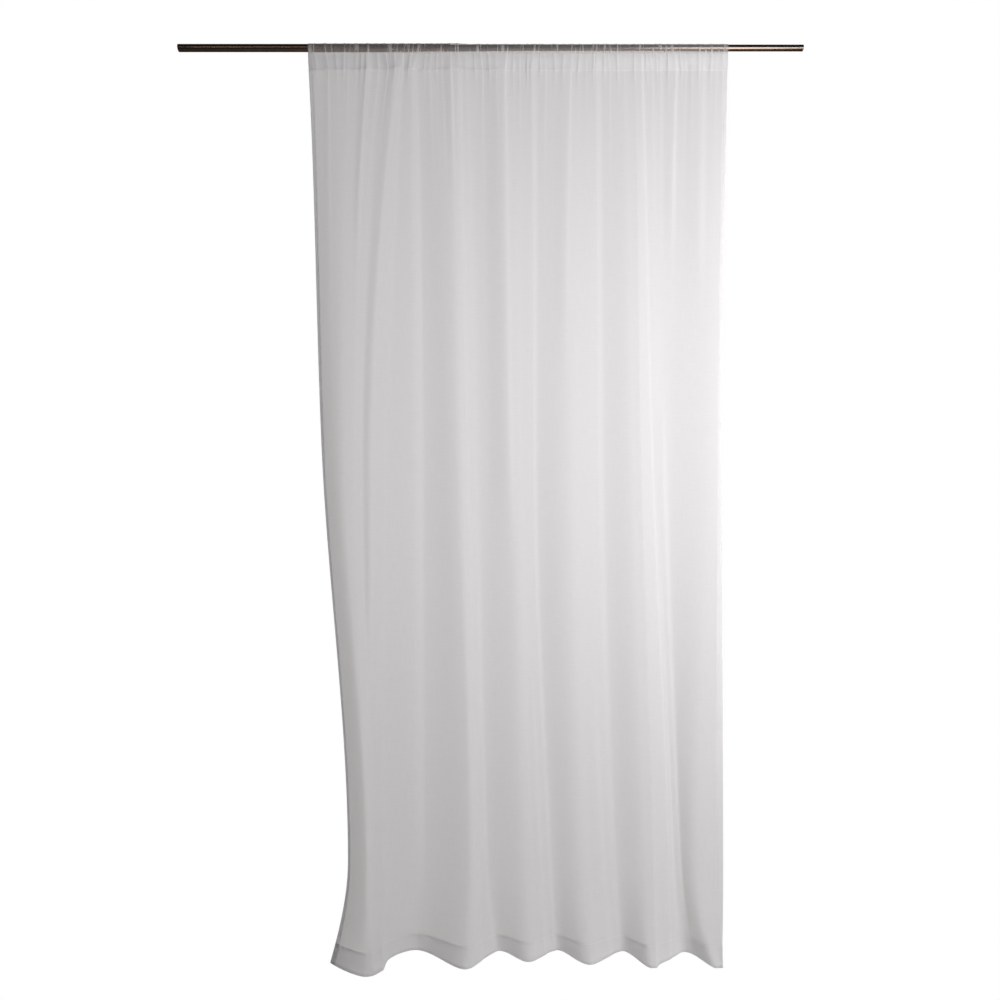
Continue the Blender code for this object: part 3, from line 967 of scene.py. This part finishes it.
# %% The room
# What lights the curtain is dim all round, a little less so from behind it
WHITE = (1.0, 1.0, 1.0, 1.0)
SEEN_THROUGH = (0.50, 0.463, 0.452, 1.0)
WALL_LIGHT = (0.08, 0.08, 0.08, 1.0)
ROOM_LIGHT = (0.04, 0.04, 0.04, 1.0)
WALL_BLEND = 0.3


def seen_colour(tree):
    """White for the camera, and grey behind a sheer layer."""
    path = add_node(tree, "ShaderNodeLightPath")
    behind = add_node(
        tree,
        "ShaderNodeMath",
        {"operation": "MINIMUM"},
        {0: path.outputs["Transparent Depth"], 1: 1.0},
    )
    mix = add_node(
        tree,
        "ShaderNodeMix",
        {"data_type": "RGBA"},
        {0: behind.outputs["Value"], 6: WHITE, 7: SEEN_THROUGH},
    )
    return path, mix.outputs[2]


world = bpy.data.worlds.new("room")
scene.world = world
world.use_nodes = True
tree = world.node_tree
tree.nodes.clear()
way = add_node(tree, "ShaderNodeTexCoord").outputs["Generated"]
path, seen = seen_colour(tree)
parts = add_node(tree, "ShaderNodeSeparateXYZ", {}, {"Vector": way})
to_wall = add_node(
    tree,
    "ShaderNodeMapRange",
    {"interpolation_type": "SMOOTHSTEP"},
    {"Value": parts.outputs["Y"], "From Min": -WALL_BLEND, "From Max": WALL_BLEND},
)
lit = add_node(
    tree,
    "ShaderNodeMix",
    {"data_type": "RGBA"},
    {0: to_wall.outputs["Result"], 6: ROOM_LIGHT, 7: WALL_LIGHT},
)
shown = add_node(
    tree,
    "ShaderNodeMix",
    {"data_type": "RGBA"},
    {0: path.outputs["Is Camera Ray"], 6: lit.outputs[2], 7: seen},
)
air = add_node(tree, "ShaderNodeBackground", {}, {"Color": shown.outputs[2], "Strength": 1.0})
add_node(tree, "ShaderNodeOutputWorld", {}, {"Surface": air.outputs["Background"]})
scene.view_settings.view_transform = "Standard"

# %% The floor
FLOOR_Z = HEM_Z - 45 * MM
FLOOR_REACH = 8.0

bm = bmesh.new()
bmesh.ops.create_grid(bm, x_segments=1, y_segments=1, size=FLOOR_REACH)
bmesh.ops.translate(bm, verts=bm.verts[:], vec=(0, 0, FLOOR_Z))
mesh = bpy.data.meshes.new("floor")
bm.to_mesh(mesh)
bm.free()
floor = bpy.data.objects.new("floor", mesh)
scene.collection.objects.link(floor)
material, tree, output = new_material("pale studio floor")
path, seen = seen_colour(tree)
paint = add_node(tree, "ShaderNodeBsdfDiffuse", {}, {"Color": linear("#e8e8e8")})
glow = add_node(tree, "ShaderNodeEmission", {}, {"Color": seen})
look = add_node(
    tree,
    "ShaderNodeMixShader",
    {},
    {0: path.outputs["Is Camera Ray"], 1: paint.outputs["BSDF"], 2: glow.outputs["Emission"]},
)
tree.links.new(look.outputs["Shader"], output.inputs["Surface"])
mesh.materials.append(material)


# %% The lights
def softbox(name, place, aim, width, height, power):
    """A soft rectangular light that the camera doesn't see."""
    data = bpy.data.lights.new(name, "AREA")
    data.shape = "RECTANGLE"
    data.size, data.size_y = width, height
    data.energy = power
    light = bpy.data.objects.new(name, data)
    scene.collection.objects.link(light)
    light.location = place
    light.rotation_euler = (Vector(aim) - Vector(place)).to_track_quat("-Z", "Y").to_euler()
    light.visible_camera = False


# Each light's place, what it points at, its width and height in metres, and its power in watts
softbox("light behind", (0.42, 1.7, -0.88), (0.4, 0.0, -0.85), 1.2, 1.6, 24)
softbox("light in front", (1.2, -1.1, -0.9), (0.25, 0.0, -0.95), 0.8, 1.5, 36)
softbox("light on the rod", (-0.95, -1.0, 0.0), (-0.66, 0.0, 0.0), 0.9, 0.12, 0.9)
